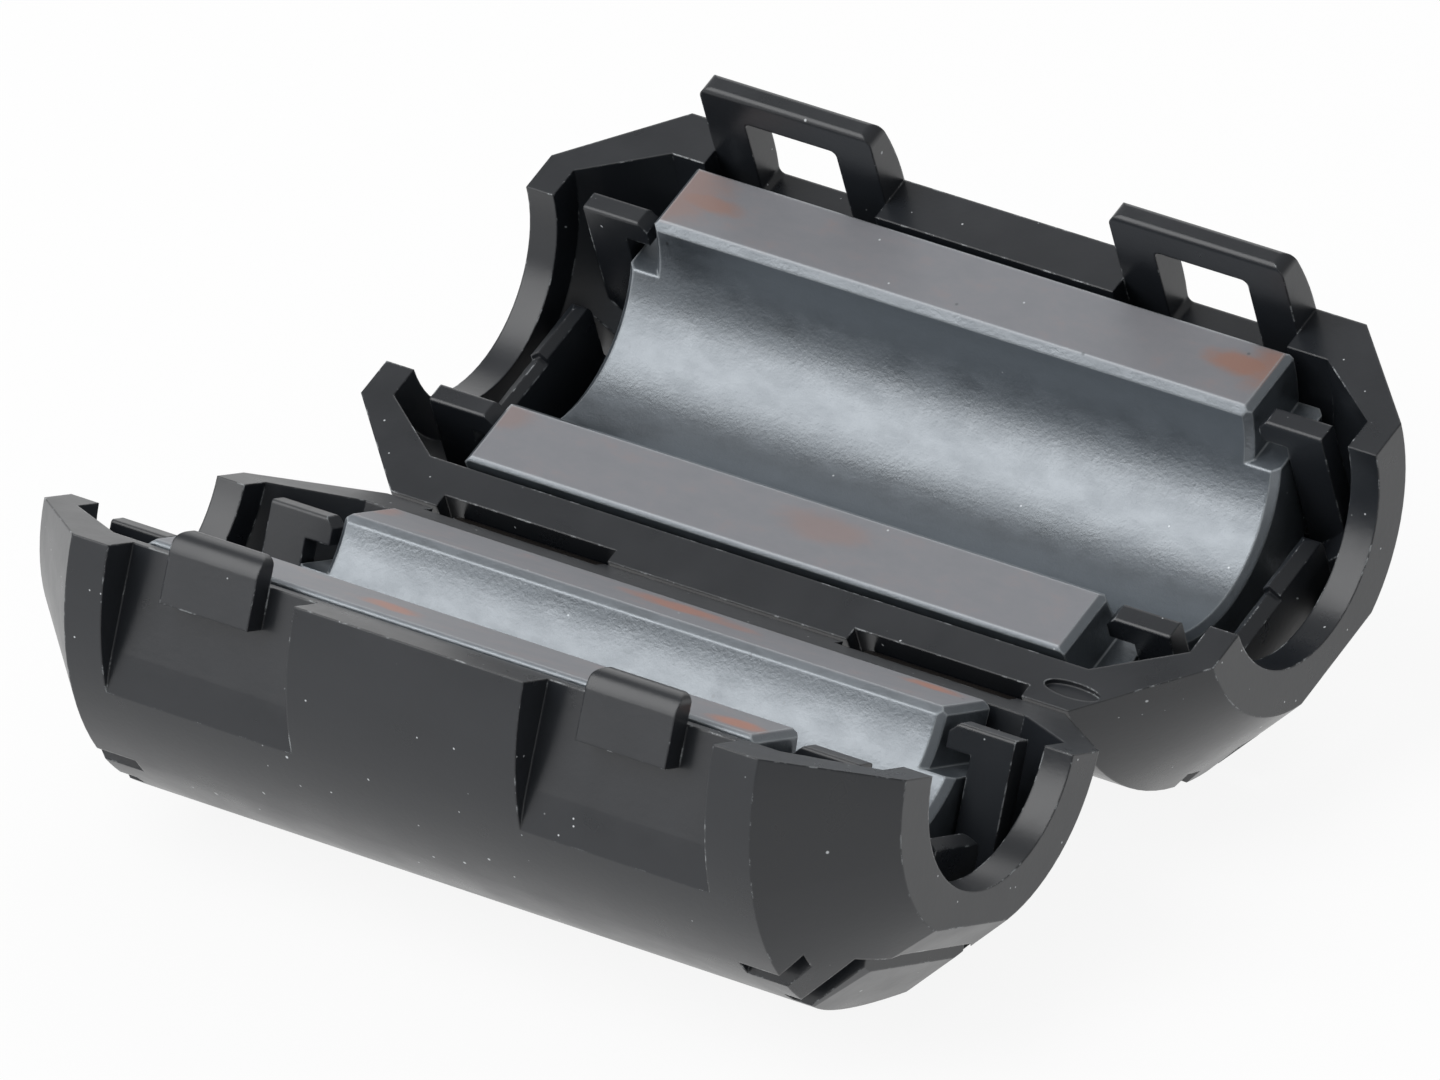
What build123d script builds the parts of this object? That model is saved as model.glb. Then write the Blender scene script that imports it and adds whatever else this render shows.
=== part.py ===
from build123d import *
import math
import os

os.makedirs("parts", exist_ok=True)

# A clip-on cable suppressor, opened. Two half shells hang on two film hinges,
# and each holds half of a ceramic core. All sizes are real ones, in millimetres.
# +X runs along the cable, +Z is up, and the hinge line is above the X axis.

# Core: half a ring, stepped down at both ends for the hooks
cable_radius = 4.5
core_wall = 3.0
core_half_length = 13.4
core_step_length = 1.1
core_step_depth = 2.1
core_proud = 0.15
bore_edge = 0.27
outer_edge = 0.12
end_edge = 0.25

# Case: a round back with a cone at each end, around the pocket for the core
pocket_gap = 0.3
pocket_straight_room = 0.1
case_wall = 1.95
end_room = 4.1
end_wall = 1.15
end_ring = 1.65
pocket_lip = 1.3
bevel_drop = 0.45
rest_tilt = 20.0
root = 0.15

# Two curved seat ribs in the pocket
seat_rib_width = 1.2
seat_rib_at = 8.45
seat_rib_half_width = 5.2

# Latch loops and the catches that they snap over
latch_pitch = 16.9
latch_offset = -0.15
loop_width = 7.1
loop_height = 2.95
loop_thickness = 1.25
loop_corner = 0.45
loop_edge = 0.2
loop_root = 0.4
loop_notch_depth = 2.0
window_width = 3.8
window_top = 1.75
window_room = 0.75
window_corner = 0.25
catch_clearance = 0.1
catch_side_clearance = 0.1
recess_clearance = 0.25
catch_reach = 0.87
catch_rise = 0.9
catch_lead = 0.75
catch_corner = 0.35

# Recess around a catch: flat at the top, then bent to run out into the round back
recess_bend_top = 3.9
recess_bend_foot = 5.4

# Hooks that hold the core down at its four corners
hook_width = 0.82
hook_top = 0.33
hook_thickness = 0.95
hook_lead = 0.35
hook_edge = 0.12
hook_post = 1.6
hook_gap = 0.2
hook_tip_gap = 0.3
hook_side_gap = 0.05

# Windows in the back beside the hooks
hook_window_offset = 0.4
hook_window_width = 0.65
hook_window_length = 2.35

# Grip tongue under each end of the channel, and its cross bar
slot_wall = 0.7
slot_edge = 0.7
slot_across = 0.75
slot_corner = 1.65
tongue_length = 2.4
grip_depth = 3.4
grip_margin = 0.05
grip_thickness = 0.7
grip_corner = 0.7
grip_setback = 0.15
grip_crest = 0.3
grip_inner_slope = 0.25
grip_outer_slope = 0.32
grip_step = 0.25
grip_step_at = 0.3

# Film hinges, each in a notch of the rim
hinge_gap = 0.05
hinge_pitch = 16.9
hinge_notch_width = 7.1
hinge_notch_depth = 1.6
hinge_notch_inset = 0.55
strap_width = 6.0
strap_thickness = 0.45
strap_rise = 0.75
strap_crest = 0.5

# Shallow oval dimple beside one hinge, left by the moulding gate
gate_at = 13.5
gate_inset = 0.9
gate_length = 2.2
gate_width = 0.66
gate_depth = 0.2

# How far a cut runs past the face that it opens
overrun = 1.0

# Values that follow from the ones above
rim = -core_proud
core_radius = cable_radius + core_wall
pocket_radius = core_radius + pocket_gap
case_radius = pocket_radius + case_wall
end_face_radius = cable_radius + end_ring
case_half_length = core_half_length + end_room
cone_start = case_half_length - (case_radius - end_face_radius)
pocket_half_length = case_half_length - end_wall
pocket_cone_start = core_half_length + pocket_straight_room
pocket_end_radius = cable_radius + pocket_lip
pocket_slope = (pocket_radius - pocket_end_radius) / (pocket_half_length - pocket_cone_start)
bevel_height = end_face_radius - bevel_drop
hinge_radius = case_radius + hinge_gap
tilt = math.radians(rest_tilt)
axis_y = hinge_radius * math.cos(tilt)
hinge_height = case_radius - hinge_radius * math.sin(tilt)
loop_inner = case_radius - loop_thickness
recess_floor = loop_inner - recess_clearance
recess_width = loop_width + 2 * recess_clearance
window_bottom = catch_rise + window_room
window_back = recess_floor - catch_clearance
catch_face = recess_floor + catch_reach
catch_width = window_width - 2 * catch_side_clearance
catch_bottom = window_top - catch_clearance
hook_inner = cable_radius + hook_side_gap
step_start = core_half_length - core_step_length
hook_tip = step_start + hook_tip_gap
hook_post_start = core_half_length + hook_gap
tongue_half_width = hook_inner - slot_wall - slot_edge
tongue_end = pocket_half_length - slot_across
grip_half_width = tongue_half_width - grip_margin
slot_outer = tongue_half_width + slot_edge
latch_centres = [latch_offset - latch_pitch / 2, latch_offset + latch_pitch / 2]
hinge_centres = [-hinge_pitch / 2, hinge_pitch / 2]

# Each half has its own frame: X along the cable, Y across the halves, Z out of the mating plane
latch_frame = Plane(origin=(0, axis_y, case_radius), x_dir=(1, 0, 0), z_dir=(0, -math.sin(tilt), math.cos(tilt)))
catch_frame = Plane(origin=(0, -axis_y, case_radius), x_dir=(1, 0, 0), z_dir=(0, math.sin(tilt), math.cos(tilt)))


def placed(frame, origin, x_dir, z_dir):
    """A plane given in the frame of one half."""
    start = frame.from_local_coords(Vector(0, 0, 0))
    return Plane(
        origin=frame.from_local_coords(Vector(*origin)),
        x_dir=frame.from_local_coords(Vector(*x_dir)) - start,
        z_dir=frame.from_local_coords(Vector(*z_dir)) - start,
    )


def plan(frame, height=0.0):
    """Parallel to the mating plane, seen from outside: X along, Y across."""
    return placed(frame, (0, 0, height), (1, 0, 0), (0, 0, 1))


def section(frame, x):
    """Square to the cable: X across, Y out of the mating plane."""
    return placed(frame, (x, 0, 0), (0, 1, 0), (1, 0, 0))


def side_view(frame, y=0.0):
    """Along the cable and across the wall: X along, Y out of the mating plane."""
    return placed(frame, (0, y, 0), (1, 0, 0), (0, -1, 0))


def pocket_at(x):
    """Radius of the pocket at a distance from the middle of the case."""
    return pocket_radius - max(0, x - pocket_cone_start) * pocket_slope


def block(frame, low, high):
    """A box between two corners in the frame of one half."""
    centre = [(a + b) / 2 for a, b in zip(low, high)]
    size = [abs(b - a) for a, b in zip(low, high)]
    with BuildPart() as made:
        with BuildSketch(placed(frame, (centre[0], centre[1], min(low[2], high[2])), (1, 0, 0), (0, 0, 1))):
            Rectangle(size[0], size[1])
        extrude(amount=size[2])
    return made.part


def half_turn(frame, points):
    """Half a turned body behind the mating plane, from an outline of lengths and radii."""
    with BuildPart() as made:
        with BuildSketch(plan(frame)):
            with BuildLine():
                Polyline(*points, close=True)
            make_face()
        axis_start = frame.from_local_coords(Vector(0, 0, 0))
        revolve(axis=Axis(axis_start, (-1, 0, 0)), revolution_arc=180)
    return made.part


def grip(frame, end):
    """The cross bar that presses on the cable, standing on the end of its tongue.

    Its top is a ridge, and one half of it is stepped down."""
    bar_outer = tongue_end - grip_setback
    bar_inner = bar_outer - grip_thickness
    foot = pocket_at(bar_inner) + root
    with BuildPart() as made:
        for start, stop, top in (
            (grip_step_at, grip_half_width, -grip_depth),
            (-grip_half_width, grip_step_at, -grip_depth - grip_step),
        ):
            with BuildSketch(side_view(frame, stop)):
                with BuildLine():
                    Polyline(
                        (end * bar_inner, -foot),
                        (end * bar_inner, top - grip_inner_slope),
                        (end * (bar_inner + grip_crest), top),
                        (end * bar_outer, top - grip_outer_slope),
                        (end * bar_outer, -foot),
                        close=True,
                    )
                make_face()
            extrude(amount=stop - start)
        with BuildSketch(section(frame, end * bar_inner)):
            with Locations((0, -(grip_depth + foot) / 2)):
                RectangleRounded(2 * grip_half_width, foot - grip_depth, grip_corner)
            with Locations((0, -(grip_depth + 3 * foot) / 4)):
                Rectangle(2 * grip_half_width, (foot - grip_depth) / 2)
        extrude(amount=end * grip_thickness, mode=Mode.INTERSECT)
    return made.part


def hook(frame, end, side):
    """A post beyond the end of the core with a nose that reaches over the core's step."""
    inner = side * hook_inner
    nose_low = -hook_top - hook_thickness
    post_end = hook_post_start + hook_post
    foot = -math.sqrt(pocket_at(hook_post_start) ** 2 - hook_inner**2) - root
    with BuildPart() as made:
        with BuildSketch(side_view(frame, inner)):
            with BuildLine():
                Polyline(
                    (end * hook_tip, nose_low),
                    (end * hook_tip, -hook_top - hook_lead),
                    (end * (hook_tip + hook_lead), -hook_top),
                    (end * post_end, -hook_top),
                    (end * post_end, foot),
                    (end * hook_post_start, foot),
                    (end * hook_post_start, nose_low),
                    close=True,
                )
            make_face()
        extrude(amount=-side * hook_width)
        top = made.edges().filter_by(Axis.X).sort_by(Axis.Z)[-2:]
        fillet(top, hook_edge)
    return made.part


def half_case(frame, side):
    """What both half shells share. The latches are on the positive side where side is 1."""
    with BuildPart() as made:
        # Round back and end cones, hollowed for the core and for the cable
        add(
            half_turn(
                frame,
                [
                    (-case_half_length, 0),
                    (-case_half_length, end_face_radius),
                    (-cone_start, case_radius),
                    (cone_start, case_radius),
                    (case_half_length, end_face_radius),
                    (case_half_length, 0),
                ],
            )
        )
        add(
            half_turn(
                frame,
                [
                    (-pocket_half_length, 0),
                    (-pocket_half_length, pocket_end_radius),
                    (-pocket_cone_start, pocket_radius),
                    (pocket_cone_start, pocket_radius),
                    (pocket_half_length, pocket_end_radius),
                    (pocket_half_length, 0),
                ],
            ),
            mode=Mode.SUBTRACT,
        )
        with BuildSketch(section(frame, -case_half_length)):
            Circle(cable_radius)
        extrude(amount=2 * case_half_length, mode=Mode.SUBTRACT)
        add(
            block(
                frame,
                (-case_half_length - overrun, -case_radius - overrun, rim),
                (case_half_length + overrun, case_radius + overrun, overrun),
            ),
            mode=Mode.SUBTRACT,
        )

        # Two curved seat ribs under the core
        for x in (-seat_rib_at, seat_rib_at):
            with BuildSketch(section(frame, x - seat_rib_width / 2)):
                Circle(pocket_radius + root)
                Circle(core_radius, mode=Mode.SUBTRACT)
                with Locations((0, -core_radius)):
                    Rectangle(2 * seat_rib_half_width, core_radius, mode=Mode.INTERSECT)
            extrude(amount=seat_rib_width)

        for end in (-1, 1):
            # Flat bevel across the foot of the cone
            reach = case_radius + overrun
            with BuildSketch(side_view(frame, reach)):
                with BuildLine():
                    Polyline(
                        (end * (case_half_length + overrun), -bevel_height + overrun),
                        (end * (case_half_length + overrun), -reach),
                        (end * (case_half_length - (reach - bevel_height)), -reach),
                        close=True,
                    )
                make_face()
            extrude(amount=2 * reach, mode=Mode.SUBTRACT)

            # Slot around the grip tongue: one cut across, narrowed at its corners, and one along each edge
            deep = -case_radius - overrun
            with BuildSketch(plan(frame, deep)):
                with BuildLine():
                    Polyline(
                        (end * tongue_end, -slot_outer),
                        (end * pocket_half_length, slot_corner - slot_outer),
                        (end * pocket_half_length, slot_outer - slot_corner),
                        (end * tongue_end, slot_outer),
                        close=True,
                    )
                make_face()
            extrude(amount=-grip_depth - deep, mode=Mode.SUBTRACT)
            for edge in (-1, 1):
                low = (end * (tongue_end - tongue_length), edge * tongue_half_width, deep)
                high = (end * tongue_end, edge * slot_outer, -grip_depth)
                add(block(frame, low, high), mode=Mode.SUBTRACT)

                # Window in the back beside the hook
                window_inner = hook_inner + hook_window_offset
                low = (end * step_start, edge * window_inner, deep)
                high = (
                    end * (step_start + hook_window_length),
                    edge * (window_inner + hook_window_width),
                    -core_step_depth,
                )
                add(block(frame, low, high), mode=Mode.SUBTRACT)

            add(grip(frame, end))
            for edge in (-1, 1):
                add(hook(frame, end, edge))

        # Notches in the rim for the film hinges
        for x in hinge_centres:
            low = (x - hinge_notch_width / 2, -side * (case_radius - hinge_notch_inset), rim - hinge_notch_depth)
            high = (x + hinge_notch_width / 2, -side * (case_radius + overrun), overrun)
            add(block(frame, low, high), mode=Mode.SUBTRACT)
    return made.part


def loop(frame, x):
    """A latch loop: a slice of the round outside, carried up past the mating plane."""
    low = window_bottom + loop_root
    with BuildPart() as made:
        with BuildSketch(section(frame, x - loop_width / 2)) as profile:
            with Locations((case_radius - loop_thickness / 2, (loop_height - low) / 2)):
                Rectangle(loop_thickness, loop_height + low)
            Circle(case_radius, mode=Mode.INTERSECT)
            fillet(profile.vertices().sort_by(Axis.Y)[-2:], loop_edge)
        extrude(amount=loop_width)
        # Round the two upper corners, seen from the front
        with BuildSketch(side_view(frame, loop_inner)):
            with Locations((x, (loop_height - low) / 2)):
                RectangleRounded(loop_width, loop_height + low, loop_corner)
        extrude(amount=-loop_thickness, mode=Mode.INTERSECT)
    return made.part


def window(frame, x):
    """The opening of a loop, cut on down into the wall so that the catch has room."""
    with BuildPart() as made:
        with BuildSketch(side_view(frame, window_back)):
            with Locations((x, (window_top - window_bottom) / 2)):
                RectangleRounded(window_width, window_top + window_bottom, window_corner)
        extrude(amount=-(case_radius + overrun - window_back))
    return made.part


def recess(frame, side, x):
    """The hollow around a catch: an upright flat that bends to run out into the round back."""
    outside = case_radius + overrun
    foot = math.sqrt(case_radius**2 - recess_bend_foot**2)
    with BuildPart() as made:
        with BuildSketch(section(frame, x - recess_width / 2)):
            with BuildLine():
                Line((side * recess_floor, overrun), (side * recess_floor, -recess_bend_top))
                TangentArc(
                    (side * recess_floor, -recess_bend_top),
                    (side * foot, -recess_bend_foot),
                    tangent=(0, -1),
                )
                Polyline(
                    (side * foot, -recess_bend_foot),
                    (side * outside, -recess_bend_foot),
                    (side * outside, overrun),
                    (side * recess_floor, overrun),
                )
            make_face()
        extrude(amount=recess_width)
    return made.part


def catch(frame, side, x):
    """A catch: flat hooked underside, upright face and a rounded top that leads the loop in."""
    back = side * (recess_floor - root)
    face = side * catch_face
    with BuildPart() as made:
        with BuildSketch(section(frame, x - catch_width / 2)):
            with BuildLine():
                Polyline(
                    (back, rim - root),
                    (back, -catch_bottom),
                    (face, -catch_bottom),
                    (face, catch_rise - catch_lead),
                )
                RadiusArc((face, catch_rise - catch_lead), (face - side * catch_lead, catch_rise), -side * catch_lead)
                Polyline(
                    (face - side * catch_lead, catch_rise),
                    (side * recess_floor, catch_rise),
                    (side * recess_floor, rim - root),
                    (back, rim - root),
                )
            make_face()
        extrude(amount=catch_width)
        # Round the two upper corners, seen from the front
        tall = catch_rise + catch_bottom + overrun
        with BuildSketch(side_view(frame, side * (case_radius + overrun))):
            with Locations((x, catch_rise - tall / 2)):
                RectangleRounded(catch_width, tall, catch_corner)
        extrude(amount=side * (case_radius + overrun), mode=Mode.INTERSECT)
    return made.part


def slope(frame, y, turn, drop):
    """A wedge that bevels a long edge at a distance y from the axis. Where turn is 1 it leans outward."""
    with BuildPart() as made:
        with BuildSketch(section(frame, -core_half_length - overrun)):
            with BuildLine():
                Polyline(
                    (y - turn * (drop + overrun), overrun),
                    (y + turn * overrun, overrun),
                    (y + turn * overrun, -drop - overrun),
                    close=True,
                )
            make_face()
        extrude(amount=2 * (core_half_length + overrun))
    return made.part


def core(frame):
    """Half of the ring core, with a step at each end and bevelled edges."""
    outline = []
    for x, radius, along, out in (
        (-core_half_length, cable_radius, 1, 1),
        (core_half_length, cable_radius, -1, 1),
        (core_half_length, core_radius, -1, -1),
        (-core_half_length, core_radius, 1, -1),
    ):
        corner = [(x, radius + out * end_edge), (x + along * end_edge, radius)]
        outline += corner if along * out > 0 else corner[::-1]
    with BuildPart() as made:
        add(half_turn(frame, outline))
        for side in (-1, 1):
            add(slope(frame, side * cable_radius, -side, bore_edge), mode=Mode.SUBTRACT)
            add(slope(frame, side * core_radius, side, outer_edge), mode=Mode.SUBTRACT)
        for end in (-1, 1):
            # Step for the hooks, with a bevel above its upright face
            with BuildSketch(side_view(frame, core_radius + overrun)):
                with BuildLine():
                    Polyline(
                        (end * (step_start - end_edge - overrun), overrun),
                        (end * step_start, -end_edge),
                        (end * step_start, -core_step_depth),
                        (end * (core_half_length + overrun), -core_step_depth),
                        (end * (core_half_length + overrun), overrun),
                        close=True,
                    )
                make_face()
            extrude(amount=2 * (core_radius + overrun), mode=Mode.SUBTRACT)

            # Bevel where the upright face of the step meets the bore
            with BuildPart() as flare:
                add(
                    half_turn(
                        frame,
                        [
                            (end * (step_start - end_edge), 0),
                            (end * (step_start - end_edge), cable_radius),
                            (end * step_start, cable_radius + end_edge),
                            (end * step_start, 0),
                        ],
                    )
                )
                low = (end * (step_start - end_edge), -core_radius, -core_step_depth)
                high = (end * step_start, core_radius, overrun)
                add(block(frame, low, high), mode=Mode.INTERSECT)
            add(flare.part, mode=Mode.SUBTRACT)
    return made.part


def strap(x):
    """A film hinge: a thin arch from the floor of one notch to the floor of the other."""
    floor = rim - hinge_notch_depth
    outer = -(case_radius - hinge_gap)
    inner = outer + strap_thickness

    def across(y, z):
        """From the frame of the latch half to the upright plane across the hinge line."""
        point = latch_frame.from_local_coords(Vector(0, y, z))
        return (point.Y, point.Z)

    low_outer = across(outer, floor)
    low_inner = across(inner, floor)
    high_outer = across(outer, floor + strap_rise)
    high_inner = across(inner, floor + strap_rise)
    crest = hinge_height - strap_crest
    with BuildPart() as made:
        with BuildSketch(Plane(origin=(x - strap_width / 2, 0, 0), x_dir=(0, 1, 0), z_dir=(1, 0, 0))):
            with BuildLine():
                Line(low_inner, high_inner)
                ThreePointArc(high_inner, (0, crest), (-high_inner[0], high_inner[1]))
                Line((-high_inner[0], high_inner[1]), (-low_inner[0], low_inner[1]))
                Line((-low_inner[0], low_inner[1]), (-low_outer[0], low_outer[1]))
                Line((-low_outer[0], low_outer[1]), (-high_outer[0], high_outer[1]))
                ThreePointArc((-high_outer[0], high_outer[1]), (0, crest - strap_thickness), high_outer)
                Line(high_outer, low_outer)
                Line(low_outer, low_inner)
            make_face()
        extrude(amount=strap_width)
    return made.part


# Half shell with the latch loops, at the back
with BuildPart() as latch_shell:
    add(half_case(latch_frame, 1))
    for x in latch_centres:
        low = (x - loop_width / 2, core_radius, -loop_notch_depth)
        high = (x + loop_width / 2, loop_inner, overrun)
        add(block(latch_frame, low, high), mode=Mode.SUBTRACT)
        add(loop(latch_frame, x))
    for x in latch_centres:
        add(window(latch_frame, x), mode=Mode.SUBTRACT)
    with BuildSketch(plan(latch_frame, rim)):
        with Locations((gate_at, -(case_radius - gate_inset))):
            Ellipse(gate_length / 2, gate_width / 2)
    extrude(amount=-gate_depth, mode=Mode.SUBTRACT)
latch_shell.part.label = "latch_shell"

# Half shell with the catches, at the front
with BuildPart() as catch_shell:
    add(half_case(catch_frame, -1))
    for x in latch_centres:
        add(recess(catch_frame, -1, x), mode=Mode.SUBTRACT)
        add(catch(catch_frame, -1, x))
catch_shell.part.label = "catch_shell"

# Half cores, one in each shell
with BuildPart() as latch_side_core:
    add(core(latch_frame))
latch_side_core.part.label = "latch_side_core"

with BuildPart() as catch_side_core:
    add(core(catch_frame))
catch_side_core.part.label = "catch_side_core"

# Film hinges
with BuildPart() as hinge_strap_left:
    add(strap(hinge_centres[0]))
hinge_strap_left.part.label = "hinge_strap_left"

with BuildPart() as hinge_strap_right:
    add(strap(hinge_centres[1]))
hinge_strap_right.part.label = "hinge_strap_right"

export_step(latch_shell.part, "parts/latch_shell.step")
export_step(catch_shell.part, "parts/catch_shell.step")
export_step(latch_side_core.part, "parts/latch_side_core.step")
export_step(catch_side_core.part, "parts/catch_side_core.step")
export_step(hinge_strap_left.part, "parts/hinge_strap_left.step")
export_step(hinge_strap_right.part, "parts/hinge_strap_right.step")
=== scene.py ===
# %% [markdown]
# # An opened clip-on ferrite clamp
# Two half shells of black polyamide hang on two thin film hinges, and each holds half of a
# ferrite ring. The solids come from the CAD frame and stay where they are. This script gives
# them their surfaces, cuts copies of the hinge films into strips, and lights and frames the part.

# %% Load the frame
import math

import bmesh
import bpy
from mathutils import Matrix, Vector


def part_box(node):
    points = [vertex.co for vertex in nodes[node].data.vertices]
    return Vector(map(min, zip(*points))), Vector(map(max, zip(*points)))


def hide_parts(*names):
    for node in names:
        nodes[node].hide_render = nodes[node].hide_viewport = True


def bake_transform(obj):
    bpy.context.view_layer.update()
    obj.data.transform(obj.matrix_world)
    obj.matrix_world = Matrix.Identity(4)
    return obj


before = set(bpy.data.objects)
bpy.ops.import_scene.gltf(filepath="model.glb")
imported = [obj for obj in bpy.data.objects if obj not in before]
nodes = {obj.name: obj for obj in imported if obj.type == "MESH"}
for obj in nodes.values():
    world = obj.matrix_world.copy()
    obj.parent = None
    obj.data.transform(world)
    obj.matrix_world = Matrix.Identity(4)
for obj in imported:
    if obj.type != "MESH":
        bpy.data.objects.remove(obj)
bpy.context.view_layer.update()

# %% [markdown]
# Everything is in metres, but the part is only 35 mm long, so lengths are written in
# millimetres and multiplied by `MM`. A few sizes of the solids are repeated here because the
# patterns on them follow the frame of each half: X along the cable, Y across, Z out of the
# mating plane. Each half is tipped 20 degrees about X, one forward and one back.

# %% Sizes that the patterns need
MM = 0.001
TILT = math.radians(20)
HALF_RADIUS = 9.75 * MM
HINGE_DISTANCE = 9.8 * MM
HALF_AXIS_Y = HINGE_DISTANCE * math.cos(TILT)
HALF_AXIS_Z = HALF_RADIUS
print("axis of each half at y", HALF_AXIS_Y, "z", HALF_AXIS_Z)

# %% [markdown]
# Two helpers serve every material. One turns an sRGB hex value into the linear colour that
# Blender works in. The other adds a node, sets its plain values and makes its links, so that a
# material reads as a list of nodes.

# %% Colour and node helpers
def linear(hex_value):
    """An sRGB hex string as a linear RGBA colour."""
    parts = [int(hex_value[i : i + 2], 16) / 255 for i in (1, 3, 5)]
    return [c / 12.92 if c <= 0.04045 else ((c + 0.055) / 1.055) ** 2.4 for c in parts] + [1.0]


def add_node(material, kind, settings=None, values=None, links=None):
    """A node with its settings, its socket values and its incoming links."""
    node = material.node_tree.nodes.new(kind)
    for name, value in (settings or {}).items():
        setattr(node, name, value)
    for socket, value in (values or {}).items():
        node.inputs[socket].default_value = value
    for socket, source in (links or {}).items():
        material.node_tree.links.new(source, node.inputs[socket])
    return node


def new_material(name):
    """An empty node material and its output node."""
    material = bpy.data.materials.new(name)
    material.use_nodes = True
    material.node_tree.nodes.clear()
    return material, add_node(material, "ShaderNodeOutputMaterial")


print("linear mid grey", [round(c, 3) for c in linear("#808080")])

# %% [markdown]
# Most nodes are of a few kinds, so each kind gets a short name: a noise with its grain size in
# metres, a ramp that carries one range onto another, one value from two, a mix of two colours
# and a bump.

# %% The kinds of node that come up again and again
def noise(material, place, grain, detail, roughness):
    """A cloudy pattern from 0 to 1, with grains of the given size."""
    values = {"Scale": 1 / grain, "Detail": detail, "Roughness": roughness}
    links = {"Vector": place}
    return add_node(material, "ShaderNodeTexNoise", values=values, links=links).outputs["Fac"]


def ramp(material, value, start, end, low=0.0, high=1.0, curve="LINEAR"):
    """A value carried from the range start to end onto the range low to high."""
    return add_node(
        material, "ShaderNodeMapRange", {"interpolation_type": curve},
        values={"From Min": start, "From Max": end, "To Min": low, "To Max": high},
        links={"Value": value},
    ).outputs["Result"]


def combine(material, operation, first, second):
    """One value from two: their product, the larger one and so on."""
    return add_node(
        material, "ShaderNodeMath", {"operation": operation}, links={0: first, 1: second},
    ).outputs["Value"]


def mixed(material, factor, first, second):
    """A mix of two colours, each of them a hex string or the output of a node."""
    values, links = {}, {"Factor": factor}
    for socket, colour in (("A", first), ("B", second)):
        if isinstance(colour, str):
            values[socket] = linear(colour)
        else:
            links[socket] = colour
    settings = {"data_type": "RGBA"}
    return add_node(material, "ShaderNodeMix", settings, values, links).outputs["Result"]


def bump(material, strength, distance, height, normal):
    """The normal of a relief that lies on another normal."""
    values, links = {"Distance": distance}, {"Height": height, "Normal": normal}
    (values if isinstance(strength, float) else links)["Strength"] = strength
    return add_node(material, "ShaderNodeBump", values=values, links=links).outputs["Normal"]


print("kinds of node", [kind.__name__ for kind in (noise, ramp, combine, mixed, bump)])

# %% [markdown]
# A moulded or tumbled edge is never quite sharp: a radius of about a tenth of a millimetre
# draws a thin bright line along it, and wear reaches it first. The solids are too small to
# carry such a radius as faces on every edge. Cycles' Bevel node gives the shading of it
# instead, and the turn between its normal and the true one tells where an edge is near.

# %% Shading of small rounded edges
def rounded_edges(material, radius):
    """The normal of a slightly rounded body, and a mask that is 1 along its edges."""
    bevel = add_node(material, "ShaderNodeBevel", {"samples": 6}, values={"Radius": radius})
    rounded = bevel.outputs["Normal"]
    true = add_node(material, "ShaderNodeNewGeometry").outputs["Normal"]
    turn = add_node(
        material, "ShaderNodeVectorMath", {"operation": "DOT_PRODUCT"}, links={0: rounded, 1: true},
    ).outputs["Value"]
    return rounded, ramp(material, turn, 0.99, 0.90)


MOULDED_EDGE = 0.10 * MM
TUMBLED_EDGE = 0.14 * MM
print("edge radii in mm", MOULDED_EDGE / MM, TUMBLED_EDGE / MM)

# %% [markdown]
# Black plastic shows every grain of dust and every rub. The grains are the points of a cell
# pattern: only a few of its cells are used, and only a small ball around the point of each.
# The same pattern, drawn out along a slanted line, gives short scratches.

# %% Dust grains and short scratches
DUST = "#c4c8cb"
SCRATCH_STRETCH = 14.0


def specks(material, place, spacing, radius, share):
    """1 inside small grains, which lie in a given share of the cells of a pattern."""
    cells = add_node(
        material, "ShaderNodeTexVoronoi", {"feature": "F1"},
        values={"Scale": 1 / spacing, "Randomness": 1.0}, links={"Vector": place},
    )
    near = ramp(material, cells.outputs["Distance"], radius / spacing, 0.5 * radius / spacing)
    split = add_node(material, "ShaderNodeSeparateColor", links={"Color": cells.outputs["Color"]})
    chosen = add_node(
        material, "ShaderNodeMath", {"operation": "LESS_THAN"},
        values={1: share}, links={0: split.outputs["Red"]},
    ).outputs["Value"]
    return combine(material, "MULTIPLY", near, chosen)


def scratches(material, place, turn, share):
    """Short thin lines, all drawn out along one direction."""
    drawn = add_node(
        material, "ShaderNodeMapping", {"vector_type": "TEXTURE"},
        values={"Rotation": turn, "Scale": (SCRATCH_STRETCH, 1.0, 1.0)}, links={"Vector": place},
    ).outputs["Vector"]
    return specks(material, drawn, 0.45 * MM, 0.04 * MM, share)


print("a scratch is drawn out", SCRATCH_STRETCH, "times; dust is", DUST)

# %% [markdown]
# The case is black polyamide from a steel mould. The dye leaves almost no colour of its own,
# so what the eye reads is gloss: a satin skin with a fine orange-peel relief, broken by faint
# flow marks. Handling leaves pale dust and short rub marks, most of all along the edges.

# %% Moulded black polyamide
POLYAMIDE_IOR = 1.53
RUBBED_POLYAMIDE = "#a6abae"


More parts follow.
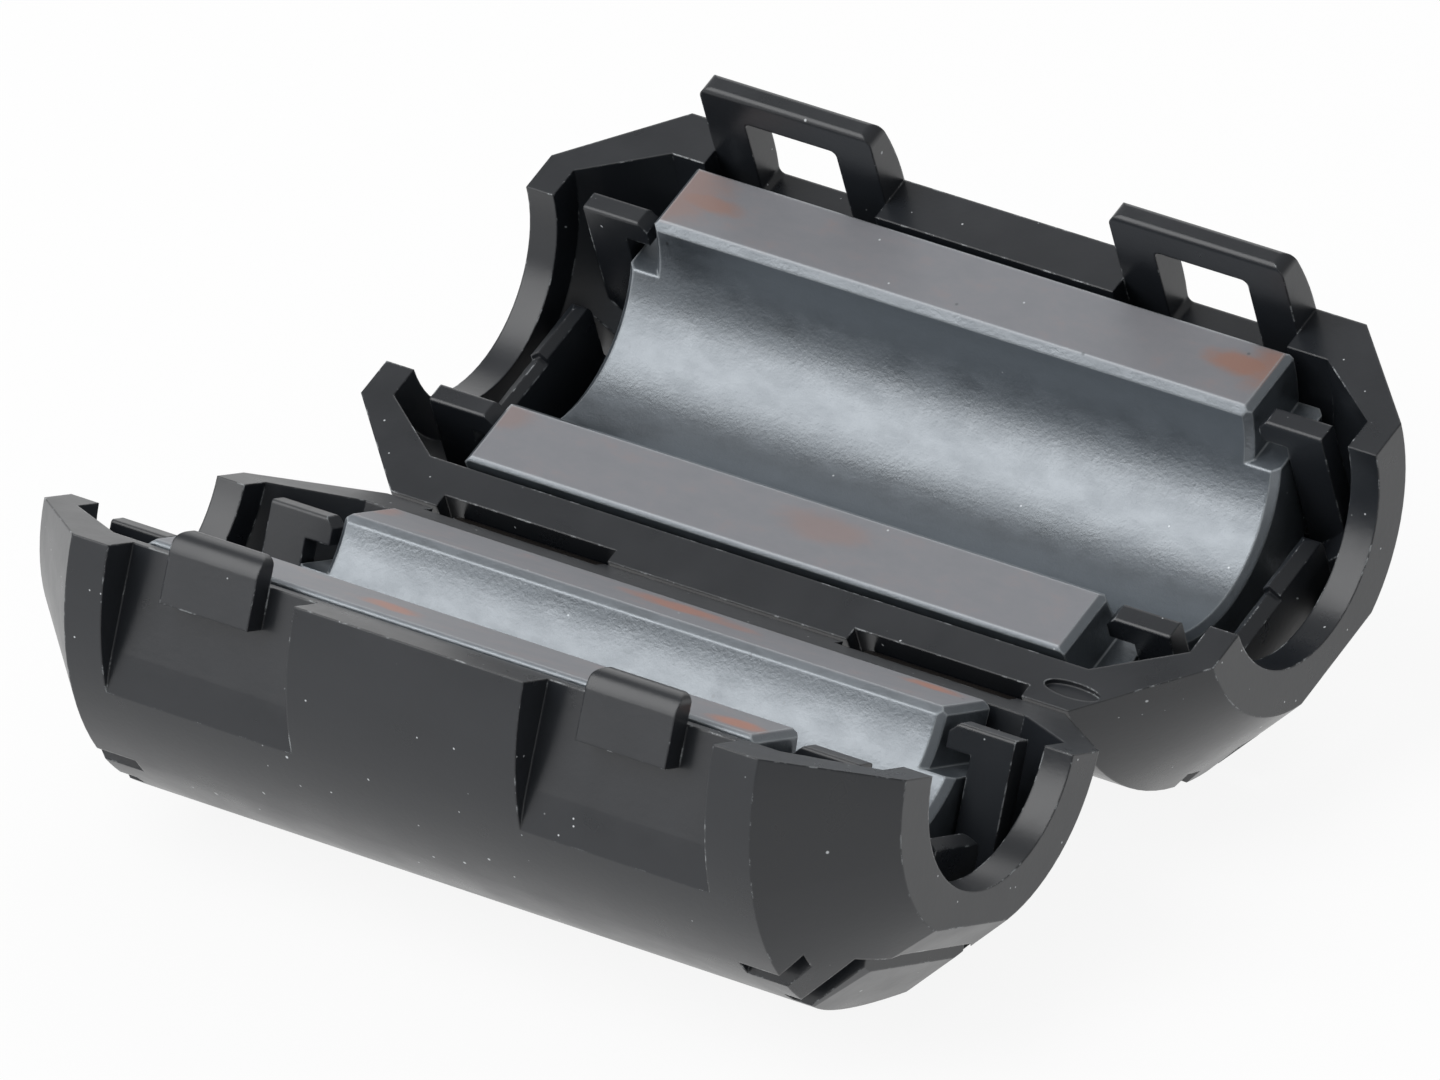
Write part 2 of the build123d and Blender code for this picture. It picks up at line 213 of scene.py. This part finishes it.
def moulded_polyamide(name, body_hex, flow_hex, roughness):
    """Black polyamide with a satin moulded skin, faint flow marks, dust and rubbed edges."""
    material, output = new_material(name)
    place = add_node(material, "ShaderNodeTexCoord").outputs["Object"]
    rounded, edge = rounded_edges(material, MOULDED_EDGE)
    cloud = noise(material, place, 3.0 * MM, 4.0, 0.6)
    skin = noise(material, place, 0.22 * MM, 3.0, 0.6)
    body = mixed(material, cloud, body_hex, flow_hex)

    # Rubbed edges: only where a coarser noise lets the wear through
    patches = noise(material, place, 0.9 * MM, 6.0, 0.75)
    rub = combine(material, "MULTIPLY", edge, ramp(material, patches, 0.54, 0.61))
    rubbed = mixed(material, rub, body, RUBBED_POLYAMIDE)

    # Dust: many fine grains, a few coarse ones and some scratches
    fine = specks(material, place, 0.50 * MM, 0.045 * MM, 0.10)
    coarse = specks(material, place, 1.30 * MM, 0.07 * MM, 0.14)
    lines = scratches(material, place, (0.3, 0.5, 1.1), 0.035)
    dust = combine(material, "MAXIMUM", combine(material, "MAXIMUM", fine, coarse), lines)
    dusty = mixed(material, dust, rubbed, DUST)

    # The flow marks change the gloss more than the colour
    gloss = ramp(material, cloud, 0.3, 0.7, roughness - 0.04, roughness + 0.05)
    shader = add_node(
        material, "ShaderNodeBsdfPrincipled", values={"IOR": POLYAMIDE_IOR, "Metallic": 0.0},
        links={
            "Base Color": dusty,
            "Roughness": gloss,
            "Normal": bump(material, 0.18, 0.02 * MM, skin, rounded),
        },
    )
    material.node_tree.links.new(shader.outputs["BSDF"], output.inputs["Surface"])
    return material


case_black = moulded_polyamide("polyamide_moulded_black", "#1b1e22", "#24272c", 0.30)
film_black = moulded_polyamide("polyamide_film_black", "#1f1d1c", "#2c2825", 0.30)
print("made", case_black.name, film_black.name)

# %% [markdown]
# The cores are sintered ferrite, a dark grey ceramic with a very high index, so its satin
# surface throws back a broad bright band under a lamp and goes dark beside it. Tumbling rounds
# its edges a little. Its flat faces are ground so that the two halves meet without a gap: they
# are duller and warmer in colour, and here and there a rust-brown stain has soaked in. The
# stains are soft ellipses with ragged edges, placed as they lie on this pair.

# %% Where the rust stains lie on the ground faces
# Place along and across, half lengths along and across (mm), and strength from 0 to 1
LATCH_SIDE_STAINS = (
    (-12.2, 6.4, 2.6, 2.2, 0.60),
    (-10.9, 6.1, 1.8, 0.6, 0.80),
    (10.9, 6.4, 1.9, 0.75, 1.00),
    (12.2, 6.6, 1.8, 1.6, 0.80),
    (-11.9, -5.2, 1.3, 0.9, 0.40),
    (1.5, -5.7, 2.6, 0.9, 0.42),
)
CATCH_SIDE_STAINS = (
    (-12.2, 6.6, 1.2, 1.0, 0.40),
    (0.2, 6.5, 2.8, 0.8, 0.80),
    (2.2, 6.3, 2.0, 0.6, 0.45),
    (10.3, 6.9, 1.6, 0.5, 0.90),
    (-3.2, -6.2, 1.6, 0.7, 0.80),
    (11.0, -6.6, 1.5, 0.8, 1.00),
)
STAIN_DEPTH = 2 * MM
print("stains", len(LATCH_SIDE_STAINS), "and", len(CATCH_SIDE_STAINS))

# %% [markdown]
# Each stain is a ball that fades outward, squeezed into an ellipse. The mottle of the ceramic
# is added before the edge is cut, so that the edge follows its grain. Where two stains meet,
# the stronger one shows.

# %% Soft stains
def stains(material, half, ragged, places):
    """The strongest of several soft patches, each with a ragged edge."""
    total = None
    for x, y, long, wide, strength in places:
        local = add_node(
            material, "ShaderNodeMapping", {"vector_type": "TEXTURE"},
            values={
                "Location": (x * MM, y * MM, 0),
                "Scale": (long * MM, wide * MM, STAIN_DEPTH),
            },
            links={"Vector": half},
        ).outputs["Vector"]
        patch = add_node(
            material, "ShaderNodeTexGradient", {"gradient_type": "SPHERICAL"},
            links={"Vector": local},
        ).outputs["Fac"]
        torn = add_node(
            material, "ShaderNodeMath", {"operation": "MULTIPLY_ADD"},
            values={1: 1.1}, links={0: patch, 2: ragged},
        ).outputs["Value"]
        soaked = ramp(material, torn, 0.50, 1.25, 0.0, strength, curve="SMOOTHSTEP")
        total = soaked if total is None else combine(material, "MAXIMUM", total, soaked)
    return total


print("a stain reaches", STAIN_DEPTH / MM, "mm from the mating plane")

# %% [markdown]
# One material holds both finishes of a core, and the height above the mating plane of its half
# tells which one shows. The bore keeps the tumbled skin: cloudy, with a few dark pits and bright
# grains of grit, and with a soft relief that breaks up the band of light. The ground faces are
# flatter and duller. Every edge of the core, in the bore and on the faces, gets a pale painted
# highlight.

# %% Sintered and ground ferrite
FERRITE_IOR = 2.4
FERRITE_SHEEN = "#eff7fe"
# Pale grey painted along every edge of a core as a highlight
PAINTED_EDGE_HIGHLIGHT = "#a9afb3"
PIT = "#1e2022"
GROUND_ROUGHNESS = 0.47


def ferrite(name, side, stain_hex, places):
    """Grey ferrite: satin in the bore, ground and stained on the mating faces."""
    material, output = new_material(name)
    place = add_node(material, "ShaderNodeTexCoord").outputs["Object"]
    half = add_node(
        material, "ShaderNodeMapping", {"vector_type": "TEXTURE"},
        values={
            "Location": (0, side * HALF_AXIS_Y, HALF_AXIS_Z),
            "Rotation": (side * TILT, 0, 0),
        },
        links={"Vector": place},
    ).outputs["Vector"]
    rounded, edge = rounded_edges(material, TUMBLED_EDGE)
    height = add_node(material, "ShaderNodeSeparateXYZ", links={"Vector": half}).outputs["Z"]
    ground = ramp(material, height, -0.06 * MM, -0.02 * MM)

    # A fine grain, and a coarser mottle drawn out along the pressing direction
    grain = noise(material, place, 0.16 * MM, 4.0, 0.7)
    drawn = add_node(
        material, "ShaderNodeMapping", {"vector_type": "TEXTURE"},
        values={"Scale": (1.8, 1.0, 1.0)}, links={"Vector": half},
    ).outputs["Vector"]
    mottle = noise(material, drawn, 0.8 * MM, 5.0, 0.65)

    # Colour: bore or stained face, then a painted highlight along the edges, pits and grit
    bore_colour = mixed(material, mottle, "#282c30", "#525960")
    face_colour = mixed(material, mottle, "#58575b", "#6f6c70")
    stained = mixed(material, stains(material, half, mottle, places), face_colour, stain_hex)
    colour = mixed(material, ground, bore_colour, stained)
    # A painted highlight: pale grey along every edge stands in for light on its rounding
    edge_highlight_share = ramp(material, edge, 0.0, 1.0, 0.0, 0.85)
    edge_highlighted = mixed(material, edge_highlight_share, colour, PAINTED_EDGE_HIGHLIGHT)
    pits = specks(material, place, 0.9 * MM, 0.09 * MM, 0.10)
    pitted = mixed(material, pits, edge_highlighted, PIT)
    grit = specks(material, place, 0.7 * MM, 0.05 * MM, 0.16)
    dusty = mixed(material, grit, pitted, DUST)

    # Gloss: cloudy in the bore, even on the ground faces
    bore_gloss = ramp(material, mottle, 0.35, 0.65, 0.28, 0.40)
    gloss = add_node(
        material, "ShaderNodeMix", {"data_type": "FLOAT"},
        values={"B": GROUND_ROUGHNESS}, links={"Factor": ground, "A": bore_gloss},
    ).outputs["Result"]

    # Relief: softer on the ground faces
    relief_share = ramp(material, ground, 0.0, 1.0, 0.45, 0.12)
    waves = bump(material, relief_share, 0.022 * MM, mottle, rounded)
    relief = bump(material, relief_share, 0.03 * MM, grain, waves)
    shader = add_node(
        material, "ShaderNodeBsdfPrincipled",
        values={"IOR": FERRITE_IOR, "Metallic": 0.0, "Specular Tint": linear(FERRITE_SHEEN)},
        links={"Base Color": dusty, "Roughness": gloss, "Normal": relief},
    )
    material.node_tree.links.new(shader.outputs["BSDF"], output.inputs["Surface"])
    return material


latch_ferrite = ferrite("ferrite_sintered_latch_side", 1, "#7d4a2c", LATCH_SIDE_STAINS)
catch_ferrite = ferrite("ferrite_sintered_catch_side", -1, "#99501f", CATCH_SIDE_STAINS)
print("made", latch_ferrite.name, catch_ferrite.name)

# %% [markdown]
# Both shells are one moulding and share the plastic. Each core has a ferrite of its own,
# because its stains lie in other places.

# %% Give the solids their materials
for name, material in {
    "latch_shell": case_black,
    "catch_shell": case_black,
    "latch_side_core": latch_ferrite,
    "catch_side_core": catch_ferrite,
}.items():
    nodes[name].data.materials.clear()
    nodes[name].data.materials.append(material)
    print(name, "gets", material.name)

# %% [markdown]
# A film hinge is a web of the same plastic, thin enough to fold. The solid has the right shape
# at rest, but a rigid solid can't follow both shells. A copy of it is merged into one skin and
# cut into narrow strips across the bend. The strips give a bend joints to follow; this script
# leaves the film at rest.

# %% Hinge films cut into strips
STRIPS = 24


def bending_film(name, node):
    """A copy of a hinge film, cut into strips across the bend."""
    low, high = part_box(node)
    bm = bmesh.new()
    bm.from_mesh(nodes[node].data)
    bmesh.ops.remove_doubles(bm, verts=bm.verts, dist=0.001 * MM)
    for i in range(1, STRIPS):
        cut = (0, low.y + (high.y - low.y) * i / STRIPS, 0)
        geometry = bm.verts[:] + bm.edges[:] + bm.faces[:]
        bmesh.ops.bisect_plane(bm, geom=geometry, dist=1e-7, plane_co=cut, plane_no=(0, 1, 0))
    mesh = bpy.data.meshes.new(name)
    bm.to_mesh(mesh)
    bm.free()
    mesh.materials.clear()
    mesh.materials.append(film_black)
    film = bpy.data.objects.new(name, mesh)
    bpy.context.scene.collection.objects.link(film)
    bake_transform(film)
    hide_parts(node)
    print(name, "faces", len(mesh.polygons))


for word in ("left", "right"):
    bending_film(f"hinge_film_{word}", f"hinge_strap_{word}")

# %% [markdown]
# The part stands on a plain white sheet in a light tent. Seen by the camera, or in a
# reflection, the sheet is for the most part plain white of its own, which keeps the picture
# clean and lets the shadow stay faint. The rays that carry light see only matt paper.

# %% Floor
FLOOR_HALF_WIDTH = 1.5
WHITE_SHARE = 0.90


def seen_directly(material):
    """1 for rays from the camera and reflected or refracted ones, 0 for the rest."""
    rays = add_node(material, "ShaderNodeLightPath").outputs
    seen = combine(material, "MAXIMUM", rays["Is Camera Ray"], rays["Is Glossy Ray"])
    return combine(material, "MAXIMUM", seen, rays["Is Transmission Ray"])


bm = bmesh.new()
bmesh.ops.create_grid(bm, x_segments=1, y_segments=1, size=FLOOR_HALF_WIDTH)
floor_mesh = bpy.data.meshes.new("floor")
bm.to_mesh(floor_mesh)
bm.free()
floor = bpy.data.objects.new("floor", floor_mesh)
bpy.context.scene.collection.objects.link(floor)
paper, paper_output = new_material("paper_white")
matt = add_node(
    paper, "ShaderNodeBsdfPrincipled", values={"Base Color": linear("#f4f4f4"), "Roughness": 0.9},
)
plain = add_node(paper, "ShaderNodeEmission", values={"Color": (1, 1, 1, 1), "Strength": 1.0})
share = add_node(
    paper, "ShaderNodeMath", {"operation": "MULTIPLY"},
    values={1: WHITE_SHARE}, links={0: seen_directly(paper)},
)
sheet = add_node(
    paper, "ShaderNodeMixShader",
    links={0: share.outputs["Value"], 1: matt.outputs["BSDF"], 2: plain.outputs["Emission"]},
)
paper.node_tree.links.new(sheet.outputs["Shader"], paper_output.inputs["Surface"])
floor_mesh.materials.append(paper)
print("floor is", floor.dimensions.x, "m wide")

# %% [markdown]
# The main lamp is a tall softbox in front, to the left of the camera: its reflection is the
# bright band in the bores. A weaker one behind, low over the sheet, lifts the ground faces that
# the camera sees at a flat angle. Both are large compared with the part, so that every edge of
# a shadow or highlight stays soft.

# %% Lamps
LAMP_AIM = Vector((0, 0, 8 * MM))
LAMP_DISTANCE = 1.2


def soft_lamp(name, azimuth, elevation, width, height, power):
    """An area lamp in a direction given in degrees, aimed at the part."""
    data = bpy.data.lights.new(name, "AREA")
    data.shape = "RECTANGLE"
    data.size = width
    data.size_y = height
    data.energy = power
    lamp = bpy.data.objects.new(name, data)
    turn, rise = math.radians(azimuth), math.radians(elevation)
    flat = math.cos(rise)
    toward = Vector((flat * math.cos(turn), flat * math.sin(turn), math.sin(rise)))
    lamp.location = LAMP_AIM + LAMP_DISTANCE * toward
    lamp.rotation_euler = (-toward).to_track_quat("-Z", "Y").to_euler()
    bpy.context.scene.collection.objects.link(lamp)


soft_lamp("front_softbox", -132, 42, width=0.80, height=1.58, power=13.1)
soft_lamp("back_fill", 110, 32, width=1.2, height=0.9, power=4.0)

# %% [markdown]
# The walls of the tent give an even light from all round, weaker than the softbox. The camera
# sees them as plain white.

# %% Tent
TENT_STRENGTH = 0.42
tent = bpy.data.worlds.new("tent")
bpy.context.scene.world = tent
tent.use_nodes = True
white = tent.node_tree.nodes["Background"]
white.inputs["Color"].default_value = (1, 1, 1, 1)
from_camera = add_node(tent, "ShaderNodeLightPath").outputs["Is Camera Ray"]
level = ramp(tent, from_camera, 0.0, 1.0, TENT_STRENGTH, 1.0)
tent.node_tree.links.new(level, white.inputs["Strength"])
print("tent gives", TENT_STRENGTH)

# %% [markdown]
# The camera stands 81 cm away with a very long lens, 34 degrees round to the right and 28.5
# degrees up. A long lens keeps parallel edges nearly parallel, as in a product picture.

# %% Camera
CAMERA_PLACE = Vector((402.561, -589.857, 396.201)) * MM
CAMERA_AIM = Vector((-0.286, 0.131, 8.497)) * MM
CAMERA_ROLL = math.radians(-0.1)
camera_data = bpy.data.cameras.new("camera")
camera_data.lens = 600
camera_data.sensor_width = 36
camera_data.clip_start = 0.01
camera_data.clip_end = 10
camera = bpy.data.objects.new("camera", camera_data)
camera.location = CAMERA_PLACE
look = (CAMERA_AIM - CAMERA_PLACE).to_track_quat("-Z", "Y").to_matrix()
camera.rotation_euler = (look @ Matrix.Rotation(CAMERA_ROLL, 3, "Z")).to_euler()
bpy.context.scene.collection.objects.link(camera)
bpy.context.scene.camera = camera
bpy.context.scene.view_settings.view_transform = "Standard"
print("camera at", camera.location, "distance", (CAMERA_AIM - CAMERA_PLACE).length)
